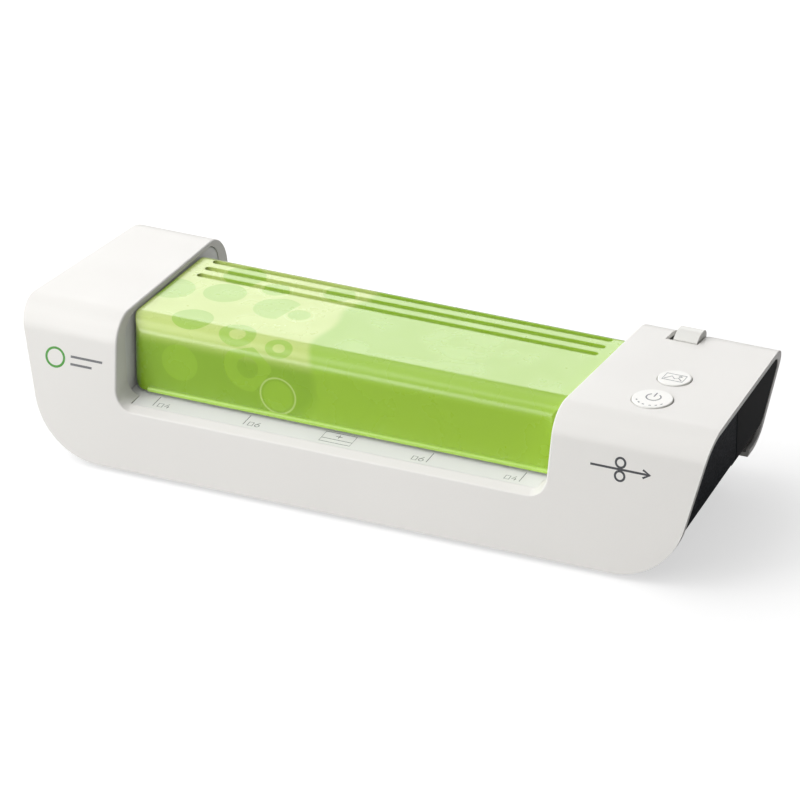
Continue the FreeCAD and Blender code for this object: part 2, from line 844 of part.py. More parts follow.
def rubber_feet():
    feet = []
    for number, (x, y) in enumerate(((-130, 20), (130, 20), (-122, 112), (122, 112))):
        feet.append(rod(f"foot_{number}", "z", (x, y, -ground_gap), foot_radius, ground_gap + casing_inset))
    finish("rubber_feet", group("feet", feet))


# ---------------------------------------------------------------- frames, rollers and bearings

ROLLERS = (
    ("front_lower", front_axis, lower_height),
    ("front_upper", front_axis, upper_height),
    ("rear_lower", rear_axis, lower_height),
    ("rear_upper", rear_axis, upper_height),
)
TIE_RODS = ((38, 16), (114, 16), (76, 62))
base_screw_places = [(path_x(frame_reach - 6, side), y) for side in (-1, 1) for y in (34, 110)]
board_corners = [(x, y) for x in (132, 172) for y in (30, 88)]


def side_frame(side, word):
    """A steel side plate with round holes for the lower bushes and open slots for the upper blocks."""
    reach = path_x(frame_reach, side)
    left = reach if side > 0 else reach - plate
    sheet_plate = slab(word + "_plate", "YZ_Plane", [
        (frame_front, frame_foot),
        (frame_rear, frame_foot),
        (frame_rear, as_size(62)),
        (frame_rear - 10, as_size(69)),
        (frame_front + 14, as_size(69)),
        (frame_front, as_size(62)),
    ], left, plate)
    flange = reach_box(word + "_flange", frame_reach - flange_width, frame_reach + plate,
                       (frame_front, frame_foot), (frame_rear, frame_foot + plate), side)
    tools = [rod(word + "_pivot_hole", "x", (left - 1, pivot_y, pivot_z), journal_radius + running_gap, 4)]
    for name, y, z in ROLLERS:
        if "lower" in name:
            tools.append(rod(f"{word}_{name}_hole", "x", (left - 1, y, z), block / 2, 4))
        else:
            tools.append(box(f"{word}_{name}_slot", (left - 1, y - block / 2 - 0.1, block_bottom - 0.1),
                             (left + 3, y + block / 2 + 0.1, slot_top)))
    for number, (y, z) in enumerate(TIE_RODS):
        tools.append(rod(f"{word}_tie_hole_{number}", "x", (left - 1, y, z), screw_radius, 4))
    for number, (x, y) in enumerate(base_screw_places):
        place = (x, y, frame_foot - 1)
        tools.append(rod(f"{word}_base_hole_{number}", "z", place, screw_radius, plate + 2))
    for number, up in enumerate((path_height + shoe_gap + 4, path_height - shoe_gap - 4)):
        tools.append(rod(f"{word}_shoe_hole_{number}", "x", (left - 1, 76, up), screw_radius, 4))
    if side > 0:
        tools.append(rod("stud_hole", "x", (left - 1, idler_y, idler_z), 2.5, 4))
        for number, (y, z) in enumerate(bracket_screws):
            tools.append(rod(f"bracket_frame_hole_{number}", "x", (left - 1, y, z), screw_radius, 4))
    finish(word + "_side_frame", cut(word + "_frame", fuse(word + "_blank", sheet_plate, flange), *tools))


def tie_rods():
    rods = []
    for number, (y, z) in enumerate(TIE_RODS):
        solid = span(f"tie_{number}", -frame_reach, frame_reach, y, z, 4)
        depth = frame_reach - 10
        pilots = [span(f"tie_{number}_pilot_{side}", depth, frame_reach, y, z, screw_radius, side)
                  for side in (-1, 1)]
        rods.append(cut(f"tie_rod_{number}", solid, *pilots))
    finish("tie_rods", group("ties", rods))


def roller(name, y, z):
    """A silicone sleeve on a steel shaft, whose right end is long enough for its gear."""
    sleeve = cut(name + "_tube", span(name + "_outside", -roller_half, roller_half, y, z, roller_radius),
                 span(name + "_core", -roller_half, roller_half, y, z, shaft_radius))
    finish(name + "_roller", sleeve)
    thick = span(name + "_thick", -roller_half - 5, roller_half + 5, y, z, shaft_radius)
    thin = span(name + "_journal", -frame_reach - 8, gear_start + gear_width + 1.2, y, z, journal_radius)
    finish(name + "_shaft", fuse(name + "_axle", thick, thin))


def lower_bushes():
    """Flanged bushes for the two lower rollers."""
    bushes = []
    for name, y, z in ROLLERS:
        if "upper" in name:
            continue
        for side in (-1, 1):
            tag = f"{name}_bush_{side}"
            flange = span(tag + "_flange", frame_reach - plate, frame_reach, y, z, block / 2 + 2, side)
            barrel = span(tag + "_barrel", frame_reach - plate, frame_reach + 3, y, z, block / 2, side)
            radius = journal_radius + running_gap
            bore = span(tag + "_bore", frame_reach - 3, frame_reach + 5, y, z, radius, side)
            bushes.append(cut(tag, fuse(tag + "_blank", flange, barrel), bore))
    finish("lower_bushes", group("bushes", bushes))


def upper_block(name, y, side, with_arm):
    """A bearing block that slides in its frame slot. The rear ones carry an arm for the release cam."""
    tag = f"{name}_{'right' if side > 0 else 'left'}"
    near, far = frame_reach - 2, frame_reach + 4.4
    arm_near = frame_reach + plate + 0.4

    pieces = [reach_box(tag + "_body", near, far, (y - block / 2, block_bottom),
                        (y + block / 2, block_bottom + block), side)]
    if with_arm:
        tab = pivot_z + cam_radius + 0.1
        pieces.append(reach_box(tag + "_post", arm_near, far, (y, block_bottom + block - 1),
                                (y + block / 2, tab + 2.6), side))
        pieces.append(reach_box(tag + "_tab", arm_near, far, (y, tab), (pivot_y + 1, tab + 2.6), side))
    blank = fuse(tag + "_blank", *pieces) if with_arm else pieces[0]
    bore = span(tag + "_bore", near - 1, far + 1, y, upper_height, journal_radius + running_gap, side)
    return cut(tag, blank, bore)


def upper_blocks():
    for name, y, with_arm in (("front", front_axis, False), ("rear", rear_axis, True)):
        blocks = [upper_block(name + "_block", y, side, with_arm) for side in (-1, 1)]
        finish(name + "_upper_blocks", group(name + "_blocks", blocks))


def pressure_springs():
    """Bowed leaf springs that press the upper bearing blocks down from the top of their slots."""
    foot, crown = block_bottom + block + running_gap, slot_top - running_gap
    rise = crown - foot
    radius = (spring_half * spring_half + rise * rise) / (2 * rise)
    near, far = frame_reach - 1.8, frame_reach + 1.4
    for name, y in (("front", front_axis), ("rear", rear_axis)):
        bows = []
        for side in (-1, 1):
            tag = f"{name}_spring_{side + 1}"
            bow = span(tag + "_outside", near, far, y, crown - radius, radius, side)
            hollow = radius - spring_thickness
            inside = span(tag + "_inside", near - 1, far + 1, y, crown - radius, hollow, side)
            ring = cut(tag + "_ring", bow, inside)
            low, high = (y - spring_half, foot), (y + spring_half, crown)
            zone = reach_box(tag + "_zone", near, far, low, high, side)
            bows.append(common(tag, ring, zone))
        finish(name + "_pressure_springs", group(name + "_springs", bows))


# ---------------------------------------------------------------- gear train and motor

idler_gap = module * (gear_teeth + idler_teeth) / 2
idler_y = (front_axis + rear_axis) / 2
idler_z = lower_height - root(idler_gap * idler_gap - (rear_axis - idler_y) * (rear_axis - idler_y))
pinion_y = front_axis - module * (gear_teeth + pinion_teeth) / 2
motor_z = lower_height + motor_raise
bracket_screws = ((30, 17.5), (30, 54.5))


def add_circle(sketch, radius):
    sketch.addGeometry(Part.Circle(Vector(), Vector(0, 0, 1), radius.value), False)
    sketch.addConstraint(Sketcher.Constraint("Coincident", 0, 3, -1, 1))
    rule = sketch.addConstraint(Sketcher.Constraint("Radius", 0, radius.value))
    sketch.setExpression(f"Constraints[{rule}]", radius.text)


def gear(name, teeth, bore, place, turn):
    """A spur gear about the x axis, with one tooth on its own +y side before it is turned."""
    body = add("PartDesign::Body", name + "_wheel")
    pitch = module * teeth / 2
    foot, tip = pitch - 1.25 * module, pitch + 0.95 * module
    disc = sketch_on(body, "YZ_Plane", path_x(gear_start))
    add_circle(disc, foot)
    tooth = sketch_on(body, "YZ_Plane", path_x(gear_start))
    draw_outline(tooth, [
        (foot - 0.4, -1.0 * module),
        (tip, -0.36 * module),
        (tip, 0.36 * module),
        (foot - 0.4, 1.0 * module),
    ])
    for profile in (disc, tooth):
        pad = body.newObject("PartDesign::Pad", "gear_pad")
        pad.Profile = profile
        bind(pad, "Length", gear_width)
        doc.recompute()
    pattern = body.newObject("PartDesign::PolarPattern", "teeth")
    pattern.Originals = [pad]
    pattern.Axis = (origin_plane(body, "X_Axis"), [""])
    pattern.Angle = 360
    pattern.Occurrences = int(teeth.value)
    body.Tip = pattern
    doc.recompute()
    hole = sketch_on(body, "YZ_Plane", path_x(gear_start) - 1)
    add_circle(hole, bore)
    pocket = body.newObject("PartDesign::Pocket", "bore")
    pocket.Profile = hole
    pocket.Reversed = True
    bind(pocket, "Length", gear_width + 2)
    before = body.Shape.Volume
    body.Tip = pocket
    doc.recompute()
    if body.Shape.Volume > before - 1:
        raise RuntimeError(name + ": the bore cut nothing")
    finish(name, body, (0, place[0], place[1]), turn)


def mesh_turn(turn, teeth, other_teeth, direction):
    """The turn that puts a gap of the second gear on the first gear's nearest tooth."""
    pitch = 360 / teeth.value
    nearest = round((direction - turn) / pitch)
    shift = turn + nearest * pitch - direction
    return direction + 180 - shift * teeth.value / other_teeth.value + 180 / other_teeth.value


def gear_train():
    fall = math.degrees(math.atan2((lower_height - idler_z).value, (idler_y - front_axis).value))
    idler_turn = mesh_turn(0, gear_teeth, idler_teeth, -fall)
    rear_turn = mesh_turn(idler_turn, idler_teeth, gear_teeth, fall)
    upright = 90
    gear("front_lower_gear", gear_teeth, journal_radius, (front_axis, lower_height), 0)
    gear("front_upper_gear", gear_teeth, journal_radius, (front_axis, upper_height),
         mesh_turn(0, gear_teeth, gear_teeth, upright))
    gear("idler_gear", idler_teeth, 2.5 + running_gap, (idler_y, idler_z), idler_turn)
    gear("rear_lower_gear", gear_teeth, journal_radius, (rear_axis, lower_height), rear_turn)
    gear("rear_upper_gear", gear_teeth, journal_radius, (rear_axis, upper_height),
         mesh_turn(rear_turn, gear_teeth, gear_teeth, upright))
    gear("motor_pinion", pinion_teeth, as_size(3), (pinion_y, lower_height),
         mesh_turn(0, gear_teeth, pinion_teeth, 180))


def idler_stud():
    """The fixed pin of the idler gear, with its shoulder and its end clip."""
    pin = span("stud_pin", frame_reach, gear_start + gear_width + 2, idler_y, idler_z, 2.5)
    shoulder = span("stud_shoulder", frame_reach + plate, gear_start - 0.2, idler_y, idler_z, 4)
    finish("idler_stud", fuse("stud", pin, shoulder))
    face = gear_start + gear_width
    ring = span("clip_ring", face + 0.3, face + 1.1, idler_y, idler_z, 4.6)
    hole = span("clip_hole", face, face + 2, idler_y, idler_z, 2.5)
    finish("idler_clip", cut("clip", ring, hole))


def motor_parts():
    bracket = gear_start + gear_width + 4
    face = bracket + plate
    ears = ((pinion_y - 17, motor_z), (pinion_y + 17, motor_z))
    can = span("motor_can", face, face + motor_length, pinion_y, motor_z, motor_radius)
    boss = span("motor_boss", bracket - 1, face, pinion_y, lower_height, 5.9)
    tail = span("motor_tail", face + motor_length, face + motor_length + 3, pinion_y, motor_z, 9)
    bore = span("motor_bore", bracket - 2, face + 6, pinion_y, lower_height, 3 + running_gap)
    threads = [span(f"motor_thread_{number}", face, face + 5, y, z, screw_radius)
               for number, (y, z) in enumerate(ears)]
    finish("drive_motor", cut("motor", fuse("motor_blank", can, boss, tail), bore, *threads))
    spindle = span("motor_spindle", gear_start, face + 5, pinion_y, lower_height, 3)
    finish("motor_shaft", group("motor_spindles", [spindle]))
    back = reach_box("bracket_back", bracket, face, (14, 12), (61, 59.5))
    legs, feet = [], []
    for number, (low, toe) in enumerate(((12, 19), (58, 50))):
        legs.append(reach_box(f"bracket_leg_{number}", frame_reach + plate, face,
                              (27, low), (34, low + plate)))
        feet.append(reach_box(f"bracket_foot_{number}", frame_reach + plate, frame_reach + 2 * plate,
                              (27, min(low, toe)), (34, max(low, toe) + plate)))
    holes = [span("bracket_boss_hole", bracket - 1, face + 1, pinion_y, lower_height, 6)]
    for number, (y, z) in enumerate(ears):
        holes.append(span(f"bracket_ear_{number}", bracket - 1, face + 1, y, z, screw_radius))
    for number, (y, z) in enumerate(bracket_screws):
        holes.append(span(f"bracket_hole_{number}", frame_reach, frame_reach + 5, y, z, screw_radius))
    finish("motor_bracket", cut("bracket", fuse("bracket_blank", back, *legs, *feet), *holes))
    screws = [screw(f"motor_screw_{number}", (path_x(bracket), y, z), "x", 1, 5.5)
              for number, (y, z) in enumerate(ears)]
    screws += [screw(f"bracket_screw_{number}", (path_x(frame_reach + 2 * plate), y, z), "x", -1, 4)
               for number, (y, z) in enumerate(bracket_screws)]
    finish("motor_screws", group("motor_screw_set", screws))


def screw(name, seat, along, way, length):
    """A round-headed screw that sits on seat and points along an axis, forwards or backwards."""
    side = "xyz".index(along)
    head_start, shank_start = list(seat), list(seat)
    head_start[side] = seat[side] - screw_head_height if way > 0 else as_size(seat[side])
    shank_start[side] = as_size(seat[side]) if way > 0 else seat[side] - length
    head = rod(name + "_head", along, head_start, screw_head_radius, screw_head_height)
    shank = rod(name + "_shank", along, shank_start, screw_radius, length)
    return fuse(name, head, shank)


def frame_screws():
    outside = frame_reach + plate
    screws = []
    for side in (-1, 1):
        seat = path_x(outside, side)
        for number, (y, z) in enumerate(TIE_RODS):
            screws.append(screw(f"tie_screw_{side + 1}_{number}", (seat, y, z), "x", -side, 9))
        for number, up in enumerate((path_height + shoe_gap + 4, path_height - shoe_gap - 4)):
            screws.append(screw(f"shoe_screw_{side + 1}_{number}", (seat, 76, up), "x", -side, 8))
    finish("frame_screws", group("frame_screw_set", screws))
    length = frame_foot + plate + 1 - base_screw_seat
    from_below = [screw(f"base_screw_{number}", (x, y, base_screw_seat), "z", 1, length)
                  for number, (x, y) in enumerate(base_screw_places)]
    finish("base_screws", group("base_screw_set", from_below))


# ---------------------------------------------------------------- heating

def heating():
    near, far = 76 - shoe_depth / 2, 76 + shoe_depth / 2
    for name, low in (("upper", path_height + shoe_gap), ("lower", path_height - shoe_gap - shoe_height)):
        high = low + shoe_height
        bar = box(name + "_bar", (path_x(-frame_reach), near, low), (path_x(frame_reach), far, high))
        middle = low + 4 if name == "upper" else high - 4
        depth = frame_reach - 9
        pilots = [span(f"{name}_shoe_pilot_{side}", depth, frame_reach, 76, middle, screw_radius, side)
                  for side in (-1, 1)]
        finish(name + "_heat_shoe", cut(name + "_shoe", bar, *pilots))
        strip = high if name == "upper" else low - 1.5
        finish(name + "_heater_strip", group(name + "_strip_set", [
            box(name + "_strip", (path_x(-108), near + 1, strip), (path_x(108), far - 1, strip + 1.5))]))
    top = path_height + shoe_gap + shoe_height + 1.5
    cap = rod("thermostat_cap", "z", (path_x(-40), 76, top), 6.5, 2)
    can = rod("thermostat_can", "z", (path_x(-40), 76, top + 2), 5, 4)
    tabs = [reach_box(f"thermostat_tab_{number}", start, start + 1, (75.6, top + 5), (76.4, top + 9))
            for number, start in enumerate((-43, -37))]
    finish("thermostat", fuse("thermostat_body", cap, can, *tabs))
    fuse_body = rod("fuse_body", "x", (path_x(20), 76, top + 1.8), 1.8, 12)
    leads = rod("fuse_leads", "x", (path_x(12), 76, top + 1.8), 0.5, 28)
    finish("thermal_fuse", fuse("fuse_link", fuse_body, leads))


# ---------------------------------------------------------------- controls

def controls():
    top = board_height + board_thickness
    board = box("board_blank", (128, 26, board_height), (176, 92, top))
    holes = [rod(f"board_hole_{number}", "z", (x, y, board_height - 1), screw_radius, 4)
             for number, (x, y) in enumerate(board_corners)]
    finish("circuit_board", cut("board", board, *holes))
    reach = board_thickness + board_screw_length
    fixings = [screw(f"board_screw_{number}", (x, y, board_height), "z", 1, reach)
               for number, (x, y) in enumerate(board_corners)]
    finish("board_screws", group("board_screw_set", fixings))
    switches, lamps = [], []
    keys = (("power", power_x, power_y, power_radius), ("photo", photo_x, photo_y, photo_radius))
    for name, x, y, radius in keys:
        base = box(name + "_switch_base", (x - 3, y - 3, top), (x + 3, y + 3, top + 3.5))
        plunger = rod(name + "_plunger", "z", (x, y, top + 3.5), 1.7, 0.8)
        switches.append(fuse(name + "_switch", base, plunger))
        lamps.append(rod(name + "_lamp", "z", (x + 6, y, top), 1.5, 3.5))
        ceiling = top_height - wall - top_fall * (y + radius + 1.5) - 0.2
        crown = top_height - top_fall * y + button_rise
        cap = rod(name + "_cap", "z", (x, y, ceiling - 1.5), radius, crown - ceiling + 1.5)
        skirt = rod(name + "_skirt", "z", (x, y, ceiling - 1.5), radius + 1.5, 1.5)
        stem = rod(name + "_stem", "z", (x, y, top + 4.3 + button_travel + 0.05), 2.5,
                   ceiling - 1 - (top + 4.3 + button_travel + 0.05))
        key = fuse(name + "_key_sharp", cap, skirt, stem)
        finish(name + "_button", soften(name + "_key", key, button_edge, [(x - radius, y, crown)]))
    finish("tact_switches", group("switch_set", switches))
    finish("indicator_lamps", group("lamp_set", lamps))
    parts = [rod("capacitor", "z", (138, 80, top), 5, 9), box("relay", (150, 80, top), (163, 90, top + 8)),
             box("terminal_block", (132, 50, top), (139, 68, top + 8))]
    finish("board_components", group("component_set", parts))


def release_gear():
    """The lever in the right wing turns a cam shaft that lifts the rear upper bearing blocks."""
    tag_end = frame_reach + plate + 2.9
    shaft = rod("cam_bar", "x", (path_x(-tag_end - 1), pivot_y, pivot_z), journal_radius,
                lever_right - path_x(-tag_end - 1))
    tag_start, cam_y = frame_reach + plate + 0.6, pivot_y - cam_throw
    discs = [span(f"cam_{side + 1}", tag_start, tag_end, cam_y, pivot_z, cam_radius, side)
             for side in (-1, 1)]
    finish("release_shaft", fuse("release_axle", shaft, *discs))
    hub = rod("lever_hub", "x", (lever_left, pivot_y, pivot_z), 7, lever_right - lever_left)
    arm = slab("lever_arm", "YZ_Plane", [
        (pivot_y - 5, pivot_z),
        (pivot_y + 5, pivot_z - 3),
        (lever_slot_front + 11, as_size(72)),
        (lever_slot_front + 14, as_size(79)),
        (lever_slot_front + 12.5, as_size(82.2)),
        (lever_slot_front + 5.5, as_size(82.2)),
        (lever_slot_front + 0.7, as_size(79)),
        (lever_slot_front + 0.7, as_size(73)),
    ], lever_left, lever_right - lever_left)
    round_edges(arm, 9, [(lever_slot_front + 5.5, 82.2)], 0)
    round_edges(arm, 3.5, [(lever_slot_front + 12.5, 82.2)], 0)
    round_edges(arm, 2.5, [(lever_slot_front + 14, 79)], 0)
    width = lever_right - lever_left
    bore = rod("lever_bore", "x", (lever_left - 1, pivot_y, pivot_z), journal_radius, width + 2)
    finish("release_lever", cut("lever", fuse("lever_blank", hub, arm), bore))


def mains_inlet():
    """A two-pin inlet for a loose mains lead, low in the rear of the right wing."""
    left, right = inlet_x - inlet_width / 2, inlet_x + inlet_width / 2
    middle = inlet_floor + inlet_height / 2
    half_pitch = 4.3
    centres = (inlet_x - half_pitch, inlet_x + half_pitch)
    body = box("inlet_block", (left, inlet_rear - 16, inlet_floor),
               (right, inlet_rear, inlet_floor + inlet_height))
    lobes = [rod(f"inlet_lobe_{number}", "y", (x, inlet_rear - 12, middle), 4.4, 14)
             for number, x in enumerate(centres)]
    bridge = box("inlet_bridge", (centres[0], inlet_rear - 12, middle - 3.4),
                 (centres[1], inlet_rear + 2, middle + 3.4))
    sockets = [rod(f"pin_hole_{number}", "y", (x, inlet_rear - 15, middle), 1.2, 5)
               for number, x in enumerate(centres)]
    finish("mains_inlet", cut("inlet", body, *lobes, bridge, *sockets))
    pins = [rod(f"inlet_pin_{number}", "y", (x, inlet_rear - 15, middle), 1.2, 12)
            for number, x in enumerate(centres)]
    finish("inlet_pins", group("pin_set", pins))


# ---------------------------------------------------------------- build

doc.recompute()
outer_shell()
roller_cover()
entry_table()
exit_table()
window_wall(-1, "left")
window_wall(1, "right")
base_housing()
cheek(-1, "left")
cheek(1, "right")
rubber_feet()
side_frame(-1, "left")
side_frame(1, "right")
tie_rods()
for roller_name, roller_y, roller_z in ROLLERS:
    roller(roller_name, roller_y, roller_z)
lower_bushes()
upper_blocks()
pressure_springs()
gear_train()
idler_stud()
motor_parts()
frame_screws()
heating()
controls()
release_gear()
mains_inlet()
doc.recompute()

for item in doc.Objects:
    if "Invalid" in item.State or "Error" in item.State:
        raise RuntimeError(f"{item.Label} failed: {item.State}")
for label, item in finished.items():
    if item.Shape.isNull() or not item.Shape.isValid() or not item.Shape.Solids:
        raise RuntimeError(label + " has no valid solid")

os.makedirs("parts", exist_ok=True)
for label, item in finished.items():
    item.Shape.exportStep(os.path.join("parts", label + ".step"))
print(len(finished), "parts written")
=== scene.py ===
"""The looks of a desktop pouch laminator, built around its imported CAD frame. Lengths are in metres."""

import json
import math

import bmesh
import bpy
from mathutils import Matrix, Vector

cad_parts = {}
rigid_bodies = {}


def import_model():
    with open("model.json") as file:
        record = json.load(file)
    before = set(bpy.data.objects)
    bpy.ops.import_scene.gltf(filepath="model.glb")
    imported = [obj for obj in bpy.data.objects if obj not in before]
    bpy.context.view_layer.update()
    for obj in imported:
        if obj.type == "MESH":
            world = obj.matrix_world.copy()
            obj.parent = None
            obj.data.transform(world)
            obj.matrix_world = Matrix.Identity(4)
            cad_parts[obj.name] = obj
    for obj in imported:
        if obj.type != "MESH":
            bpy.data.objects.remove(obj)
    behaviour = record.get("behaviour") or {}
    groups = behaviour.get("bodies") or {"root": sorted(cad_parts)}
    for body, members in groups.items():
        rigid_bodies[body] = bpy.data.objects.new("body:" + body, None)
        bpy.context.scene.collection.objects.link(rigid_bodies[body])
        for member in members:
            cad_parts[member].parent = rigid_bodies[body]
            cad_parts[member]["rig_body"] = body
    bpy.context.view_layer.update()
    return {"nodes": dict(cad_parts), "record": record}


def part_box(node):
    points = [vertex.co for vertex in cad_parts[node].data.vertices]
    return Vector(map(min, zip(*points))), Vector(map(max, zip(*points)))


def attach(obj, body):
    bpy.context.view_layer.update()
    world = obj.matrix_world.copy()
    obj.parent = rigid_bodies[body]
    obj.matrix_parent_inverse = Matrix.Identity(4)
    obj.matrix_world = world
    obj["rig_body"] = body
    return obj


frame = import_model()
nodes = frame["nodes"]


# ---------------------------------------------------------------- shader helpers

class Shader:
    """A material's node tree, with short calls for the nodes that this scene uses."""

    def __init__(self, name):
        self.material = bpy.data.materials.new(name)
        self.material.use_nodes = True
        self.tree = self.material.node_tree
        self.surface = self.tree.nodes["Principled BSDF"]
        self.place = self.node("ShaderNodeTexCoord").outputs["Object"]

    def node(self, kind, inputs=None, **settings):
        made = self.tree.nodes.new(kind)
        for key, value in settings.items():
            setattr(made, key, value)
        for key, value in (inputs or {}).items():
            self.set(made.inputs[key], value)
        return made

    def set(self, socket, value):
        if isinstance(value, bpy.types.NodeSocket):
            self.tree.links.new(value, socket)
        else:
            socket.default_value = value

    def math(self, operation, first, second=0.0, third=0.0):
        made = self.node("ShaderNodeMath", {0: first, 1: second, 2: third}, operation=operation)
        return made.outputs[0]

    def noise(self, scale, detail=2.0, roughness=0.5, place=None):
        inputs = {"Vector": place or self.place, "Scale": scale, "Detail": detail, "Roughness": roughness}
        return self.node("ShaderNodeTexNoise", inputs).outputs["Fac"]

    def ramp(self, value, low, high, start=0.0, end=1.0):
        inputs = {"Value": value, "From Min": low, "From Max": high, "To Min": start, "To Max": end}
        return self.node("ShaderNodeMapRange", inputs, interpolation_type="SMOOTHSTEP").outputs["Result"]

    def mix(self, amount, first, second, blend="MIX"):
        made = self.node("ShaderNodeMix", data_type="RGBA", blend_type=blend)
        self.set(made.inputs[0], amount)
        self.set(made.inputs[6], first)
        self.set(made.inputs[7], second)
        return made.outputs[2]

    def axes(self):
        parts = self.node("ShaderNodeSeparateXYZ", {"Vector": self.place}).outputs
        return parts["X"], parts["Y"], parts["Z"]

    def edges(self, reach=0.0008):
        """1 along outer and inner edges and 0 on open faces, from how far a softened normal turns away."""
        soft = self.node("ShaderNodeBevel", {"Radius": reach}, samples=4).outputs["Normal"]
        true = self.node("ShaderNodeNewGeometry").outputs["Normal"]
        compared = self.node("ShaderNodeVectorMath", {0: soft, 1: true}, operation="DOT_PRODUCT")
        return self.ramp(compared.outputs["Value"], 0.97, 0.8)

    def bumps(self, *heights, soft_edge=None):
        """Chains (height, depth) pairs into the surface's normal, over softened edges."""
        normal = None
        if soft_edge:
            normal = self.node("ShaderNodeBevel", {"Radius": soft_edge}, samples=4).outputs["Normal"]
        for height, depth in heights:
            inputs = {"Height": height, "Distance": depth, "Strength": 1.0}
            if normal is not None:
                inputs["Normal"] = normal
            normal = self.node("ShaderNodeBump", inputs).outputs["Normal"]
        if normal is not None:
            self.set(self.surface.inputs["Normal"], normal)


def rgb(red, green, blue):
    """A colour given as it looks on a screen, 0 to 255, in the linear values that nodes use."""
    def linear(value):
        share = value / 255
        return share / 12.92 if share <= 0.04045 else ((share + 0.055) / 1.055) ** 2.4
    return linear(red), linear(green), linear(blue), 1.0


# ---------------------------------------------------------------- materials

def moulded(name, colour, roughness, grain=0.00001, variation=0.012, soft_edge=0.0003, gloss=0.5):
    """Moulded plastic: fine spark-eroded grain, faint flow clouds, edges painted brighter as a highlight and
    made slightly smoother.
    """
    shader = Shader(name)
    surface = shader.surface
    clouds = shader.noise(9, 2)
    darker = tuple(value * (1 - variation * 2) for value in colour[:3]) + (1.0,)
    lighter = tuple(min(1.0, value * (1 + variation)) for value in colour[:3]) + (1.0,)
    # painted highlight: a lighter colour for the edges, standing in for light catching them
    painted_edge_highlight = tuple(min(1.0, value * 1.08 + 0.012) for value in colour[:3]) + (1.0,)
    base = shader.mix(shader.ramp(clouds, 0.3, 0.7), darker, lighter)
    base = shader.mix(shader.ramp(shader.noise(1300, 1), 0.35, 0.8, 0.0, 0.3), base, darker)
    edge = shader.edges(soft_edge)
    # mixes the painted edge highlight into the base colour along the edge mask
    shader.set(surface.inputs["Base Color"], shader.mix(edge, base, painted_edge_highlight))
    rough = shader.ramp(shader.noise(24, 2), 0.3, 0.7, roughness - 0.03, roughness + 0.03)
    rough = shader.math("SUBTRACT", rough, shader.math("MULTIPLY", edge, 0.08))
    shader.set(surface.inputs["Roughness"], rough)
    shader.set(surface.inputs["Specular IOR Level"], gloss)
    shader.bumps((shader.noise(1900, 2, 0.6), grain), soft_edge=soft_edge)
    return shader.material


def shell_plastic():
    return moulded("shell_plastic", rgb(237, 235, 231), 0.42, soft_edge=0.0002)


def circle_print(shader, flat, scale, keep):
    """Round spots of many sizes: a cell of a Voronoi pattern holds one disc, a ringed disc or a donut.

    keep is the share of cells that hold a spot. Returns the masks of the discs and of their outer rings.
    """
    inputs = {"Vector": flat, "Scale": scale, "Randomness": 0.7}
    cells = shader.node("ShaderNodeTexVoronoi", inputs, voronoi_dimensions="2D").outputs
    tint = shader.node("ShaderNodeSeparateColor", {"Color": cells["Color"]}).outputs
    distance = cells["Distance"]
    radius = shader.ramp(tint["Red"], 0, 1, 0.2, 0.45)
    soft, ring_gap, hole_share = 0.012, 0.055, 0.45
    gap = shader.math("SUBTRACT", distance, radius)
    disc = shader.ramp(gap, -soft, soft, 1, 0)
    from_ring = shader.math("ABSOLUTE", shader.math("SUBTRACT", gap, ring_gap))
    outline = shader.ramp(from_ring, 0.008, 0.022, 1, 0)
    from_hole = shader.math("SUBTRACT", distance, shader.math("MULTIPLY", radius, hole_share))
    hole = shader.ramp(from_hole, -soft, soft, 1, 0)
    donut = shader.math("MULTIPLY", hole, shader.math("LESS_THAN", tint["Blue"], 0.3))
    ringed = shader.math("MULTIPLY", outline, shader.math("GREATER_THAN", tint["Blue"], 0.62))
    kept = shader.math("LESS_THAN", tint["Green"], keep)
    disc = shader.math("MULTIPLY", shader.math("SUBTRACT", disc, donut), kept)
    return disc, shader.math("MULTIPLY", ringed, kept)


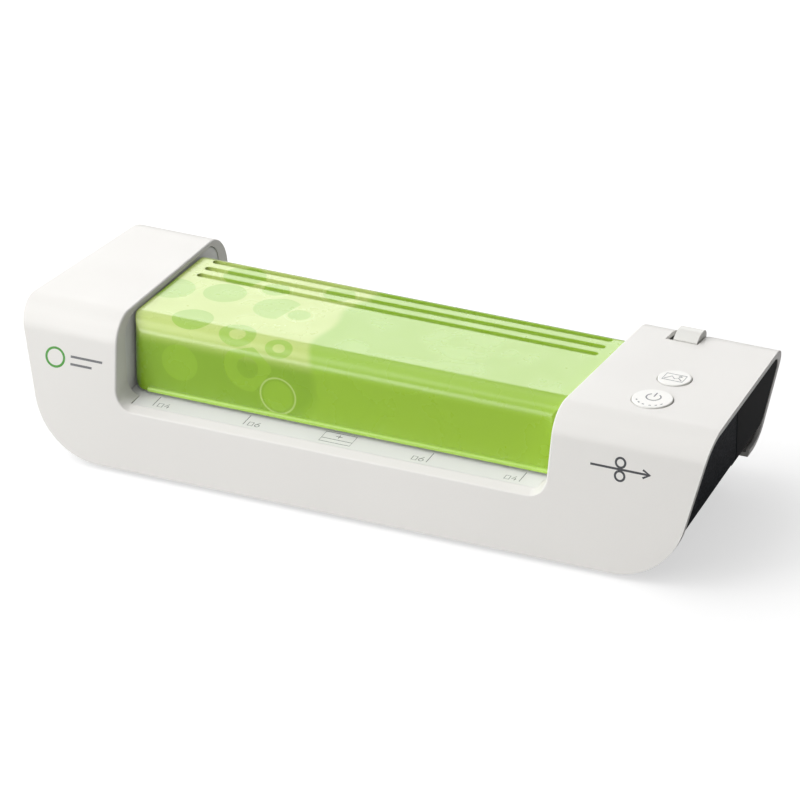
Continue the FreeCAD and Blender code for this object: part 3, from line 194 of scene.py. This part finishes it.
def cover_plastic():
    """Glossy green with printed discs and rings that crowd at the left end and stop towards the middle."""
    shader = Shader("cover_plastic")
    surface = shader.surface
    low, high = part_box("roller_cover")
    print_length, print_edge = 0.1, 0.008
    lip_depth, lip_blend = 0.0014, 0.0004
    x, y, z = shader.axes()
    along = shader.ramp(x, low.x, high.x)
    # painted sheen: a share that rises towards the top of the cover and lightens the print ground there
    painted_top_sheen = shader.ramp(z, high.z - 0.014, high.z - 0.003)
    flat = shader.node("ShaderNodeCombineXYZ", {"X": x, "Y": shader.math("ADD", y, z), "Z": 0.0})
    wobble = shader.math("MULTIPLY", shader.math("SUBTRACT", shader.noise(22, 0), 0.5), 0.05)
    print_end = low.x + print_length
    printed_end = shader.ramp(shader.math("ADD", x, wobble), print_end, print_end + print_edge, 1.0, 0.0)
    green = shader.mix(along, rgb(151, 194, 45), rgb(157, 198, 46))
    # the print ground is painted pale on the top and deep on the front, a painted sheen over the printed
    # ground
    ground = shader.mix(painted_top_sheen, rgb(138, 180, 36), rgb(196, 214, 116))
    disc, ring = circle_print(shader, flat.outputs["Vector"], 33, 0.85)
    ground = shader.mix(shader.math("MULTIPLY", disc, 0.85), ground, green)
    ground = shader.mix(shader.math("MULTIPLY", ring, 0.7), ground, rgb(206, 228, 140))
    green = shader.mix(shader.math("MULTIPLY", printed_end, 0.9), green, ground)
    fleck = shader.ramp(shader.noise(1300, 1), 0.35, 0.8, 0.0, 0.06)
    green = shader.mix(fleck, green, rgb(120, 168, 40))
    # painted highlight: the narrow front lip is lightened where light from above would catch it
    lip_highlight = shader.ramp(y, low.y + lip_depth, low.y + lip_depth + lip_blend, 0.75, 0.0)
    green = shader.mix(lip_highlight, green, rgb(184, 226, 96))
    # painted highlight: edges are lightened to stand in for light catching them
    green = shader.mix(shader.math("MULTIPLY", shader.edges(), 0.35), green, rgb(186, 220, 110))
    bounce = shader.node("ShaderNodeLightPath").outputs["Is Diffuse Ray"]
    green = shader.mix(shader.math("MULTIPLY", bounce, 0.8), green, rgb(214, 216, 208))
    shader.set(surface.inputs["Base Color"], green)
    shader.set(surface.inputs["Roughness"], shader.ramp(shader.noise(45, 4), 0.3, 0.7, 0.24, 0.32))
    shader.set(surface.inputs["Coat Weight"], 0.35)
    shader.set(surface.inputs["Coat Roughness"], 0.18)
    shader.bumps((shader.noise(300, 1), 0.0000004), soft_edge=0.0008)
    return shader.material


def cheek_plastic():
    """Black end panels: coarse leather-like grain in front of the slanted step, smooth satin behind it."""
    shader = Shader("cheek_plastic")
    surface = shader.surface
    _, y, z = shader.axes()
    run, rise = 0.067, 0.085
    step_foot, foot_height, step_blend = 0.0451, 0.0025, 0.0004
    lean = shader.math("MULTIPLY", shader.math("SUBTRACT", z, foot_height), run / rise)
    past = shader.math("ADD", shader.math("SUBTRACT", y, step_foot), lean)
    front = shader.ramp(past, -step_blend, step_blend, 1.0, 0.0)
    cells = shader.node("ShaderNodeTexVoronoi", {"Vector": shader.place, "Scale": 700.0})
    grain = shader.math("MULTIPLY", cells.outputs["Distance"], front)
    specks = shader.math("MULTIPLY", shader.ramp(shader.noise(850, 2, 0.7), 0.45, 0.64), front)
    tone = shader.mix(shader.ramp(shader.noise(30, 2), 0.35, 0.65), rgb(9, 10, 13), rgb(14, 16, 20))
    tone = shader.mix(specks, tone, rgb(54, 58, 66))
    # painted highlight: the black panels' edges are lightened to grey where light would catch them
    edge = shader.math("MULTIPLY", shader.edges(), 0.35)
    shader.set(surface.inputs["Base Color"], shader.mix(edge, tone, rgb(70, 74, 80)))
    shader.set(surface.inputs["Roughness"], shader.ramp(front, 0, 1, 0.55, 0.65))
    shader.set(surface.inputs["Specular IOR Level"], shader.ramp(front, 0, 1, 0.03, 0.1))
    shader.bumps((grain, 0.0002), (shader.noise(1900, 2), 0.00001), soft_edge=0.0004)
    return shader.material


def rubber(name, colour, roughness=0.6):
    """Dull rubber with a dusty bloom."""
    shader = Shader(name)
    surface = shader.surface
    dusty = tuple(value * 1.6 + 0.01 for value in colour[:3]) + (1.0,)
    bloom = shader.ramp(shader.noise(90, 4), 0.4, 0.8)
    shader.set(surface.inputs["Base Color"], shader.mix(bloom, colour, dusty))
    rough = shader.ramp(shader.noise(30, 2), 0.3, 0.7, roughness, roughness + 0.15)
    shader.set(surface.inputs["Roughness"], rough)
    shader.bumps((shader.noise(1200, 2), 0.00002), soft_edge=0.0004)
    return shader.material


def metal(name, colour, roughness, stretch=(1, 1, 1), soft_edge=0.0002):
    """Bare metal with drawn or ground streaks along the axis whose stretch is small."""
    shader = Shader(name)
    surface = shader.surface
    streaks = shader.node("ShaderNodeMapping", {"Vector": shader.place, "Scale": stretch}).outputs["Vector"]
    grain = shader.noise(900, 3, 0.7, streaks)
    dull = tuple(value * 0.78 for value in colour[:3]) + (1.0,)
    shader.set(surface.inputs["Base Color"], shader.mix(shader.ramp(grain, 0.3, 0.7), dull, colour))
    shader.set(surface.inputs["Metallic"], 1.0)
    shader.set(surface.inputs["Roughness"], shader.ramp(grain, 0.3, 0.7, roughness - 0.06, roughness + 0.1))
    shader.bumps((grain, 0.00001), soft_edge=soft_edge)
    return shader.material


def ink(name, colour):
    """Printed ink, slightly mottled, a little glossier than the plastic around it."""
    shader = Shader(name)
    surface = shader.surface
    thin = tuple(min(1.0, value * 1.5 + 0.02) for value in colour[:3]) + (1.0,)
    mottle = shader.ramp(shader.noise(2500, 2), 0.5, 0.8)
    shader.set(surface.inputs["Base Color"], shader.mix(mottle, colour, thin))
    shader.set(surface.inputs["Roughness"], shader.ramp(shader.noise(800, 2), 0.3, 0.7, 0.34, 0.48))
    shader.bumps((shader.noise(3000, 1), 0.000004))
    return shader.material


def board_laminate():
    """Green solder mask over copper tracks."""
    shader = Shader("board_laminate")
    surface = shader.surface
    inputs = {"Vector": shader.place, "Scale": 130.0, "Mortar Size": 0.06}
    tracks = shader.node("ShaderNodeTexBrick", inputs).outputs["Fac"]
    shade = shader.mix(tracks, rgb(24, 92, 46), rgb(58, 132, 70))
    shader.set(surface.inputs["Base Color"], shader.mix(shader.noise(60, 2), shade, rgb(30, 104, 54)))
    shader.set(surface.inputs["Roughness"], shader.ramp(shader.noise(200, 2), 0.3, 0.7, 0.24, 0.36))
    shader.bumps((tracks, 0.00005), soft_edge=0.0002)
    return shader.material


MATERIALS = {
    "shell_white": shell_plastic,
    "button_white": lambda: moulded("button_plastic", rgb(247, 246, 242), 0.32, 0.000006, 0.015, 0.0003),
    "lever_white": lambda: moulded("lever_plastic", rgb(236, 235, 230), 0.36),
    "cover_green": cover_plastic,
    "table_grey": lambda: moulded("table_plastic", rgb(246, 246, 245), 0.42),
    "casing_black": lambda: moulded("casing_plastic", rgb(26, 28, 32), 0.5, 0.00004, 0.08),
    "foot_rubber": lambda: rubber("foot_rubber", rgb(38, 38, 40)),
    "frame_steel": lambda: metal("zinc_sheet", rgb(188, 190, 194), 0.36),
    "shaft_steel": lambda: metal("ground_steel", rgb(196, 197, 198), 0.22, (0.04, 1, 1)),
    "spring_steel": lambda: metal("spring_strip", rgb(150, 152, 158), 0.3, (1, 0.1, 1)),
    "screw_steel": lambda: metal("plated_screw", rgb(200, 196, 182), 0.3),
    "roller_silicone": lambda: rubber("roller_silicone", rgb(160, 76, 54), 0.42),
    "bearing_plastic": lambda: moulded("natural_nylon", rgb(222, 216, 198), 0.45),
    "gear_plastic": lambda: moulded("acetal", rgb(236, 232, 220), 0.34),
    "shoe_aluminium": lambda: metal("extruded_aluminium", rgb(205, 206, 208), 0.3, (0.04, 1, 1)),
    "heater_mica": lambda: moulded("mica_laminate", rgb(166, 148, 116), 0.55, 0.00004, 0.12),
    "motor_zinc": lambda: metal("motor_can", rgb(178, 180, 182), 0.34),
    "thermostat_metal": lambda: metal("pressed_cap", rgb(198, 198, 196), 0.3),
    "board_green": board_laminate,
    "switch_black": lambda: moulded("switch_body", rgb(34, 34, 36), 0.45, 0.00002, 0.08),
    "lamp_clear": lambda: moulded("lamp_lens", rgb(206, 224, 198), 0.2, 0.000004, 0.02),
    "pin_brass": lambda: metal("turned_brass", rgb(206, 172, 104), 0.26, (1, 0.1, 1)),
}


def dress_cad_nodes():
    """Gives every CAD node its slot's material, and smooth shading over welded, sharp-edged meshes."""
    made = {slot: build() for slot, build in MATERIALS.items()}
    cheek = cheek_plastic()
    for row in frame["record"]["subparts"]:
        node = nodes[row["node"]]
        material = cheek if row["node"] in ("left_cheek", "right_cheek") else made[row["material_slot"]]
        node.data.materials.clear()
        node.data.materials.append(material)
        node.data.shade_smooth()
        weld = node.modifiers.new("weld", "WELD")
        weld.merge_threshold = 1e-6
        crease = node.modifiers.new("crisp_edges", "EDGE_SPLIT")
        crease.split_angle = math.radians(28)
        flat = node.modifiers.new("flat_faces_stay_flat", "WEIGHTED_NORMAL")
        flat.mode = "FACE_AREA"
        flat.weight = 100


# ---------------------------------------------------------------- printed marks

def ribbon(mesh, points, width, thickness, closed=False):
    """Adds a flat strip along a line of (u, v) points to a bmesh, standing on w = 0.

    A closed line becomes a ring, and an open one gets caps at its two ends.
    """
    count = len(points)
    sides = []
    for index, point in enumerate(points):
        before = points[(index - 1) % count] if closed or index else point
        after = points[(index + 1) % count] if closed or index < count - 1 else point
        along = (Vector(after) - Vector(before)).normalized()
        across = Vector((-along.y, along.x)) * (width / 2)
        sides.append((Vector(point) + across, Vector(point) - across))
    rings = []
    for left, right in sides:
        places = ((left, 0), (right, 0), (right, thickness), (left, thickness))
        rings.append([mesh.verts.new((spot.x, spot.y, up)) for spot, up in places])
    for index in range(count if closed else count - 1):
        first, second = rings[index], rings[(index + 1) % count]
        for side in range(4):
            after = (side + 1) % 4
            mesh.faces.new((first[side], first[after], second[after], second[side]))
    if not closed:
        mesh.faces.new(rings[0][::-1])
        mesh.faces.new(rings[-1])


def arc(centre, radius, start, end, steps=24):
    """Points on an arc, angles in degrees."""
    turns = [math.radians(start + (end - start) * step / steps) for step in range(steps + 1)]
    return [(centre[0] + radius * math.cos(turn), centre[1] + radius * math.sin(turn)) for turn in turns]


def printed(name, lines, origin, right, up, width, material, body, thickness=0.00004):
    """Lays lines of (points, closed) on a plane of the object, as one thin raised print.

    A quarter of the print's thickness is sunk in the surface, so that no gap shows under it.
    """
    mesh = bmesh.new()
    for points, closed in lines:
        ribbon(mesh, points, width, thickness, closed)
    bmesh.ops.recalc_face_normals(mesh, faces=mesh.faces)
    data = bpy.data.meshes.new(name)
    mesh.to_mesh(data)
    mesh.free()
    right, up = Vector(right).normalized(), Vector(up).normalized()
    normal = right.cross(up)
    for vertex in data.vertices:
        u, v, w = vertex.co
        vertex.co = Vector(origin) + right * u + up * v + normal * (w - thickness * 0.25)
    piece = bpy.data.objects.new(name, data)
    bpy.context.scene.collection.objects.link(piece)
    data.materials.append(material)
    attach(piece, body)


def body_of(node):
    return nodes[node]["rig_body"]


def rectangle(left, bottom, right, top):
    return [(left, bottom), (right, bottom), (right, top), (left, top)]


def digit(number, left, low, high):
    """A stroked 4 or 6 in a box whose height runs from low to high."""
    tall = high - low
    wide = tall * 0.62
    if number == 4:
        bar = low + tall * 0.32
        slope = [(left + wide * 0.7, high), (left, bar), (left + wide, bar)]
        post = [(left + wide * 0.72, low + tall * 0.62), (left + wide * 0.72, low)]
        return [(slope, False), (post, False)]
    bowl, middle = tall * 0.29, left + wide / 2
    ring = arc((middle, low + bowl), bowl, 0, 345)
    neck = (left + wide * 0.35, low + tall * 0.68)
    stem = [(left + wide * 0.85, high), neck, (middle - bowl, low + bowl)]
    return [(ring, True), (stem, False)]


def table_marks(grey):
    """Guide lines for two pouch widths on the entry table, with sheet signs and numbers, and a card sign."""
    low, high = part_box("entry_table")
    fall = 0.055
    start, end = 0.0027, 0.0126
    half_a4, half_a6 = 0.105, 0.0525
    gap, sheet_wide, sheet_tall, digit_tall = 0.0024, 0.0026, 0.0036, 0.0042
    sign_wide, digit_left = 0.0062, 0.0038
    foot = ((low.x + high.x) / 2, low.y, high.z - fall * (high.y - low.y))
    lines = []
    for half, number in ((half_a4, 4), (half_a6, 6)):
        for side in (-1, 1):
            lines.append(([(side * half, start), (side * half, end)], False))
            left = side * half + (gap if side < 0 else -gap - sign_wide)
            sheet = rectangle(left, start, left + sheet_wide, start + sheet_tall)
            lines.append((sheet, True))
            lines += digit(number, left + digit_left, start, start + digit_tall)
    card_half, card_tall = 0.0088, 0.01
    fold = start + 0.0034
    cross, cross_half, cross_rise = start + 0.0068, 0.0018, 0.0016
    lines.append((rectangle(-card_half, start, card_half, start + card_tall), True))
    lines.append(([(-card_half, fold), (card_half, fold)], False))
    lines.append(([(-cross_half, cross), (cross_half, cross)], False))
    lines.append(([(0, cross - cross_rise), (0, cross + cross_rise)], False))
    printed("pouch_guide_marks", lines, foot, (1, 0, 0), (0, 1, fall), 0.00042, grey,
            body_of("entry_table"))


def button_marks(grey):
    """A power sign on the large button and a picture sign on the small one."""
    low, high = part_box("power_button")
    centre = ((low.x + high.x) / 2, (low.y + high.y) / 2, high.z)
    sign = [(arc((0, 0.0016), 0.0038, 125, 415, 30), False), ([(0, 0.0022), (0, 0.0068)], False)]
    sign += [(arc((0, 0), 0.0082, turn, turn + 9, 4), False) for turn in (208, 230, 252, 279, 301, 323)]
    printed("power_sign", sign, centre, (1, 0, 0), (0, 1, 0), 0.0008, grey, body_of("power_button"))
    low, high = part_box("photo_button")
    centre = ((low.x + high.x) / 2, (low.y + high.y) / 2, high.z)
    hills = [(-0.0048, -0.0026), (-0.0018, 0.0014), (0.0004, -0.0014), (0.002, 0.0002), (0.0048, -0.0026)]
    picture = [(rectangle(-0.0056, -0.0036, 0.0056, 0.0036), True), (hills, False)]
    picture.append((arc((0.0026, 0.0018), 0.0007, 0, 345, 12), True))
    printed("picture_sign", picture, centre, (1, 0, 0), (0, 1, 0), 0.0006, grey,
            body_of("photo_button"))


def face_marks(dark, light, green):
    """Plain signs on the front: a sheet between two rollers at the right, a ring and bars at the left."""
    low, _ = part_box("outer_shell")
    lean = 0.143

    def spot(x, z):
        return x, low.y + lean * (z - low.z), z

    up = (0, lean, 1)
    rollers = [(arc((0, side * 0.0036), 0.0026, 0, 345, 28), True) for side in (-1, 1)]
    reach, barb, barb_half = 0.0165, 0.004, 0.0022
    head = [(reach - barb, barb_half), (reach, 0), (reach - barb, -barb_half)]
    sheet = [([(-reach, 0), (reach, 0)], False), (head, False)]
    printed("feed_sign", rollers + sheet, spot(0.148, 0.0585), (1, 0, 0), up, 0.0012, dark,
            body_of("outer_shell"))
    ring = [(arc((0, 0), 0.0052, 0, 345, 30), True)]
    printed("green_ring", ring, spot(-0.1745, 0.0565), (1, 0, 0), up, 0.0013, green,
            body_of("outer_shell"))
    bars = [([(0, 0), (0.0185, 0)], False), ([(0, -0.0042), (0.0125, -0.0042)], False)]
    printed("side_bars", bars, spot(-0.1655, 0.0585), (1, 0, 0), up, 0.0013, light,
            body_of("outer_shell"))


# ---------------------------------------------------------------- stage

def lamp(name, place, target, size, power):
    """A white rectangular lamp that faces its target; power is in watts."""
    data = bpy.data.lights.new(name, "AREA")
    data.shape = "RECTANGLE"
    data.size, data.size_y = size
    data.energy = power
    light = bpy.data.objects.new(name, data)
    light.location = place
    light.rotation_euler = (Vector(target) - Vector(place)).to_track_quat("-Z", "Y").to_euler()
    bpy.context.scene.collection.objects.link(light)


def studio_walls():
    """A world that is brighter on the object's left than on its right, like a studio with one window."""
    world = bpy.data.worlds.new("studio")
    world.use_nodes = True
    tree = world.node_tree
    direction = tree.nodes.new("ShaderNodeTexCoord").outputs["Generated"]
    split = tree.nodes.new("ShaderNodeSeparateXYZ")
    tree.links.new(direction, split.inputs["Vector"])
    spread = tree.nodes.new("ShaderNodeMapRange")
    tree.links.new(split.outputs["X"], spread.inputs["Value"])
    for name, value in (("From Min", -1.0), ("From Max", 1.0), ("To Min", 0.8), ("To Max", 0.08)):
        spread.inputs[name].default_value = value
    tree.links.new(spread.outputs["Result"], tree.nodes["Background"].inputs["Strength"])
    tree.nodes["Background"].inputs["Color"].default_value = (1, 1, 1, 1)
    bpy.context.scene.world = world


def stage():
    """A pale floor and soft lamps above, behind and in front."""
    studio_walls()
    mesh = bmesh.new()
    bmesh.ops.create_grid(mesh, x_segments=8, y_segments=8, size=6)
    data = bpy.data.meshes.new("floor")
    mesh.to_mesh(data)
    mesh.free()
    floor = bpy.data.objects.new("floor", data)
    floor.location = (0, 0, -0.0002)
    bpy.context.scene.collection.objects.link(floor)
    shader = Shader("floor_paper")
    paper = shader.mix(shader.noise(3, 2), (0.5, 0.5, 0.5, 1), (0.52, 0.52, 0.52, 1))
    shader.set(shader.surface.inputs["Base Color"], paper)
    shader.set(shader.surface.inputs["Roughness"], 0.9)
    seen = shader.node("ShaderNodeLightPath").outputs["Is Camera Ray"]
    shader.set(shader.surface.inputs["Emission Color"], (1, 1, 1, 1))
    shader.set(shader.surface.inputs["Emission Strength"], shader.math("MULTIPLY", seen, 0.6))
    data.materials.append(shader.material)
    middle = (0, 0, 0.04)
    lamp("key_lamp", (-1.15, -1.0, 1.5), middle, (1.2, 1.2), 12)
    lamp("rear_lamp", (-0.85, 1.7, 0.9), middle, (2.2, 0.7), 11.5)
    lamp("overhead_lamp", (-1.0, 0.3, 1.7), middle, (1.8, 2.2), 12)
    lamp("front_lamp", (-1.1, -2.0, 0.7), middle, (1.4, 0.8), 17)


def camera():
    """A long lens, turned to the object's right front corner and looking down on it."""
    turn, tilt, distance = math.radians(24.74), math.radians(26.32), 3.803
    target = Vector((0.0008, -0.0139, 0.0441))
    away = Vector((math.sin(turn) * math.cos(tilt), -math.cos(turn) * math.cos(tilt), math.sin(tilt)))
    data = bpy.data.cameras.new("camera")
    data.lens = 327.3
    data.sensor_width = 36
    data.clip_end = 50
    view = bpy.data.objects.new("camera", data)
    view.location = target + away * distance
    view.rotation_euler = (-away).to_track_quat("-Z", "Y").to_euler()
    bpy.context.scene.collection.objects.link(view)
    bpy.context.scene.camera = view


dress_cad_nodes()
grey_ink = ink("grey_ink", rgb(128, 129, 131))
dark_ink = ink("dark_ink", rgb(74, 75, 78))
green_ink = ink("green_ink", rgb(86, 160, 70))
light_ink = ink("light_ink", rgb(120, 121, 123))
table_marks(grey_ink)
button_marks(grey_ink)
face_marks(dark_ink, light_ink, green_ink)
stage()
camera()
bpy.context.scene.view_settings.view_transform = "Standard"
